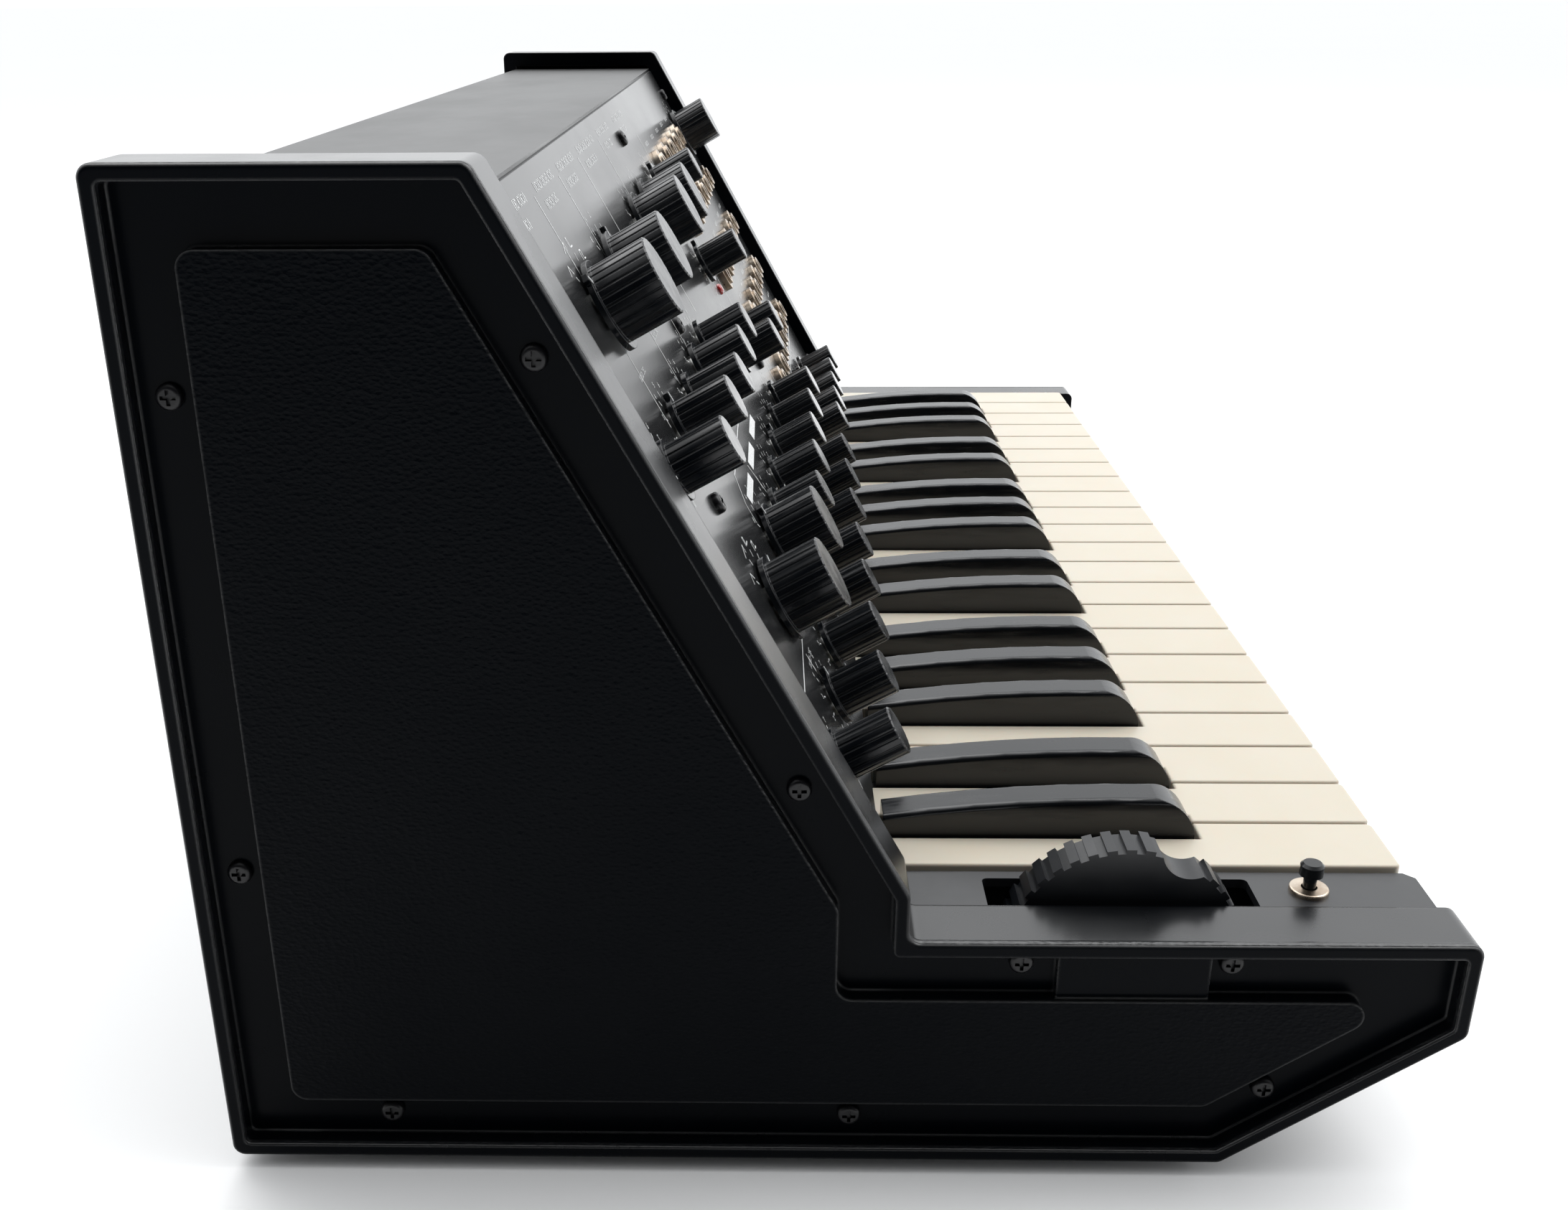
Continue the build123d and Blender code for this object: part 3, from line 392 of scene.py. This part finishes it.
class Print:
    """Ink drawn on the panel's face, gathered in one mesh."""

    def __init__(self):
        self.mesh = bmesh.new()

    def shape(self, corners):
        """A filled convex outline of (x, down) points."""
        self.mesh.faces.new([self.mesh.verts.new((x * MM, -down * MM, INK_HEIGHT * MM)) for x, down in corners])

    def rule(self, x0, down0, x1, down1, width=LINE):
        """A straight line."""
        along = Vector((x1 - x0, down1 - down0))
        across = Vector((-along.y, along.x)).normalized() * width / 2
        self.shape([(x0 + across.x, down0 + across.y), (x0 - across.x, down0 - across.y),
                    (x1 - across.x, down1 - across.y), (x1 + across.x, down1 + across.y)])

    def path(self, points, width=LINE):
        """A bent line."""
        for (x0, down0), (x1, down1) in zip(points, points[1:]):
            self.rule(x0, down0, x1, down1, width)

    def bar(self, x, down, width, height):
        """A solid block centred on a place."""
        self.rule(x - width / 2, down, x + width / 2, down, height)

    def words(self, x, down, width, height):
        """A row of short strokes in groups, in place of words."""
        step = 0.62 * height
        for index in range(int(width / step)):
            left = x - width / 2 + index * step
            if index % 8 == 7:
                continue
            if index % 3 == 2:
                self.bar(left, down - 0.36 * height, 0.36 * height, 0.2 * height)
                self.bar(left, down + 0.36 * height, 0.36 * height, 0.2 * height)
            else:
                self.bar(left, down, 0.18 * height, height)
                if index % 3 == 1:
                    self.bar(left + 0.14 * height, down, 0.28 * height, 0.16 * height)

    def number(self, text, x, down, size):
        """A figure centred on a place."""
        curve = bpy.data.curves.new("figure", "FONT")
        curve.body = text
        curve.size = size * MM
        curve.align_x = "CENTER"
        curve.align_y = "CENTER"
        letter = bpy.data.objects.new("figure", curve)
        shape = bpy.data.meshes.new_from_object(letter)
        shape.transform(Matrix.Translation((x * MM, -down * MM, INK_HEIGHT * MM)))
        self.mesh.from_mesh(shape)
        bpy.data.objects.remove(letter)
        bpy.data.meshes.remove(shape)

    def piece(self, name):
        """The finished piece, on the case."""
        shape = bpy.data.meshes.new(name)
        self.mesh.transform(PANEL)
        self.mesh.to_mesh(shape)
        self.mesh.free()
        shape.materials.append(INK)
        made = bpy.data.objects.new(name, shape)
        bpy.context.scene.collection.objects.link(made)
        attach(made, "case")
        return made


def around(x, down, radius, angle):
    """A place at a distance from a centre, at an angle clockwise from straight up."""
    turn = radians(angle)
    return x + radius * sin(turn), down - radius * cos(turn)


def pot_scale(ink, x, down, radius):
    """Eleven ticks and the figures 0 to 10 round a knob."""
    for step in range(11):
        angle = -150 + 30 * step
        ink.rule(*around(x, down, radius + 1.2, angle), *around(x, down, radius + 3.0, angle), TICK)
        ink.number(str(step), *around(x, down, radius + 4.9, angle), 2.3)


def wave_icon(ink, kind, x, down):
    """A small waveform drawing."""
    w, h = 2.2, 1.3
    outlines = {
        "triangle": [(-w, h), (0, -h), (w, h)],
        "saw": [(-w, h), (w, -h), (w, h)],
        "square": [(-w, h), (-w, -h), (0, -h), (0, h), (w, h)],
        "pulse": [(-w, h), (-w, -h), (-w / 2, -h), (-w / 2, h), (w, h)],
    }
    ink.path([(x + dx, down + dy) for dx, dy in outlines[kind]], 0.4)


def selector_scale(ink, x, down, radius, kinds):
    """Four positions round a selector, with waveform drawings or figures."""
    for step, kind in enumerate(kinds):
        angle = -45 + 30 * step
        ink.rule(*around(x, down, radius + 1.2, angle), *around(x, down, radius + 3.4, angle), TICK)
        place = around(x, down, radius + 6.4, angle)
        if kind.isdigit():
            ink.number(kind, *place, 2.6)
        else:
            wave_icon(ink, kind, *place)


def arrow_label(ink, x, down, width):
    """A slanted block that points along a signal path."""
    height, slant = 3.6, 1.6
    ink.shape([(x - width / 2, down - height / 2), (x + width / 2 - slant, down - height / 2),
               (x + width / 2, down + height / 2), (x - width / 2 + slant, down + height / 2)])


scales = Print()
for name, (x, down) in KNOB_PLACES.items():
    radius = half_width_of(name)
    if name in SELECTORS:
        marks = ("triangle", "saw", "pulse", "square") if "waveform" in name else ("8", "4", "2", "1")
        selector_scale(scales, x, down, min(radius, SELECTOR_SCALE), marks)
    else:
        pot_scale(scales, x, down, LARGE_SCALE if radius > LARGE_RADIUS else SMALL_SCALE)
scales.piece("knob_scales")

# Rules between the sections, headers over them, and the signal arrows between the upper and lower rows.
layout = Print()
for x in SECTION_RULES:
    layout.rule(x, 9.0, x, 75.0)
for x, width in HEADERS:
    layout.words(x, 7.4, width, 2.6)
    layout.words(x - width / 8, 12.6, width * 0.6, 2.6)
for x in (-208.0, -164.0):
    layout.rule(x, 148.0, x, 176.0)
layout.path([(-60.0, 106.5), (-159.0, 106.5), (-168.0, 113.5), (-168.0, 120.0)])
layout.path([(-127.5, 113.5), (-116.5, 134.0)])
layout.path([(-195.0, 146.0), (-238.0, 146.0)])
for x in (-74.0, -110.0, -146.0):
    arrow_label(layout, x, 115.5, 26.0)
layout.rule(61.0, 18.0, 61.0, 150.0)
layout.rule(61.0, 150.0, 254.0, 150.0)
layout.piece("section_rules")

labels = Print()
for name, (x, down) in KNOB_PLACES.items():
    large = half_width_of(name) > LARGE_RADIUS
    labels.words(x, down + (19.0 if large else 12.8), 13.0 if large else 10.0, 1.7)
for x, down in SOCKETS:
    labels.words(x, down - 10.4, 13.0, 1.7)
labels.piece("label_blocks")


# ---------------------------------------------------------------- knob pointers
TAB_TOP = 2.4                  # top of a knob's flange above the panel
POINTER_HEIGHT = 0.12
LARGE_POINTER = (10.9, 13.8)   # where the line starts and ends, from the knob's axis
SMALL_POINTER = (6.9, 9.6)


def pointer_line(name, joint):
    """A white line inlaid on the flange's tab, on the knob's own body."""
    middle = radians(sum(joint["range_deg"]) / 2)
    large = half_width_of(name) > LARGE_RADIUS
    inner, outer = LARGE_POINTER if large else SMALL_POINTER
    mesh = bmesh.new()
    rise = (TAB_TOP * MM, (TAB_TOP + POINTER_HEIGHT) * MM)
    corners = [(x * MM, y * MM, z) for x, y in ((-0.4, inner), (0.4, inner), (0.22, outer), (-0.22, outer))
               for z in rise]
    ring = [mesh.verts.new(corner) for corner in corners]
    for side in ((1, 3, 5, 7), (0, 2, 3, 1), (2, 4, 5, 3), (4, 6, 7, 5), (6, 0, 1, 7), (6, 4, 2, 0)):
        mesh.faces.new([ring[corner] for corner in side])
    mesh.transform(Matrix.Translation(Vector(joint["pos_m"])) @ PANEL.to_3x3().to_4x4()
                   @ Matrix.Rotation(-middle, 4, "Z"))
    shape = bpy.data.meshes.new(name + "_pointer")
    mesh.to_mesh(shape)
    mesh.free()
    shape.materials.append(INK)
    made = bpy.data.objects.new(name + "_pointer", shape)
    bpy.context.scene.collection.objects.link(made)
    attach(made, name)


for name, joint in KNOBS.items():
    pointer_line(name, joint)


# ---------------------------------------------------------------- studio
def studio_floor():
    """A wide pale floor."""
    paint = Paint("studio_floor", (0.96, 0.96, 0.96), 0.9)
    paint.colour(paint.mix(paint.noise(900, detail=3), (0.96, 0.96, 0.96), (0.95, 0.95, 0.95)))
    bpy.ops.mesh.primitive_plane_add(size=60, location=(0, 0, cad_low.z))
    floor = bpy.context.object
    floor.name = "floor"
    floor.data.materials.append(paint.material)


def studio_world():
    """A white room: brightest beyond the right cheek, dark where the camera stands at the left."""
    world = bpy.data.worlds.new("studio")
    bpy.context.scene.world = world
    world.use_nodes = True
    tree = world.node_tree
    background = tree.nodes["Background"]
    place = tree.nodes.new("ShaderNodeTexCoord").outputs["Generated"]
    rightward = tree.nodes.new("ShaderNodeSeparateXYZ")
    tree.links.new(place, rightward.inputs[0])
    total = tree.nodes.new("ShaderNodeMath")
    total.operation = "ADD"
    # Each rise: where it starts and ends along X, and the brightness at both ends.
    main_rise = (-0.75, 0.05, 0.04, 1.42)
    far_rise = (0.25, 0.9, 0.0, 0.05)
    for slot_index, (start, end, low, high) in enumerate((main_rise, far_rise)):
        fall = tree.nodes.new("ShaderNodeMapRange")
        fall.interpolation_type = "SMOOTHSTEP"
        for socket, value in (("From Min", start), ("From Max", end), ("To Min", low), ("To Max", high)):
            fall.inputs[socket].default_value = value
        tree.links.new(rightward.outputs["X"], fall.inputs["Value"])
        tree.links.new(fall.outputs["Result"], total.inputs[slot_index])
    tree.links.new(total.outputs[0], background.inputs["Strength"])
    background.inputs["Color"].default_value = (0.97, 0.985, 1.0, 1)


def area_light(name, place, target, size, power):
    """A square softbox that faces a point."""
    light = bpy.data.lights.new(name, "AREA")
    light.size = size
    light.energy = power
    lamp = bpy.data.objects.new(name, light)
    lamp.location = place
    lamp.rotation_euler = (Vector(target) - Vector(place)).to_track_quat("-Z", "Y").to_euler()
    bpy.context.scene.collection.objects.link(lamp)


def camera():
    """The camera stands at the instrument's left end, a little above it, and looks along the keys."""
    lens = bpy.data.cameras.new("camera")
    lens.sensor_width = 36.0
    lens.lens = 36.23
    lens.shift_x = 0.0328
    lens.shift_y = 0.0328
    stand = bpy.data.objects.new("camera", lens)
    stand.location = (-0.6062, 0.0175, 0.2802)
    level = Matrix(((0, 0, -1), (-1, 0, 0), (0, 1, 0)))
    nod = Matrix.Rotation(radians(23.06), 3, Vector((23.03, 1.19, -0.14)))
    to_camera = nod @ Matrix(((0, -1, 0), (0, 0, -1), (1, 0, 0)))
    stand.rotation_euler = (to_camera.transposed() @ Matrix(((1, 0, 0), (0, -1, 0), (0, 0, -1)))).to_euler()
    bpy.context.scene.collection.objects.link(stand)
    bpy.context.scene.camera = stand


studio_floor()
studio_world()
area_light("key_light", (0.3, -1.2, 1.9), (0, 0, 0.1), 1.6, 28)
area_light("top_light", (0.9, 0.6, 1.9), (0, 0, 0.1), 1.8, 26)
camera()
bpy.context.scene.view_settings.view_transform = "Standard"
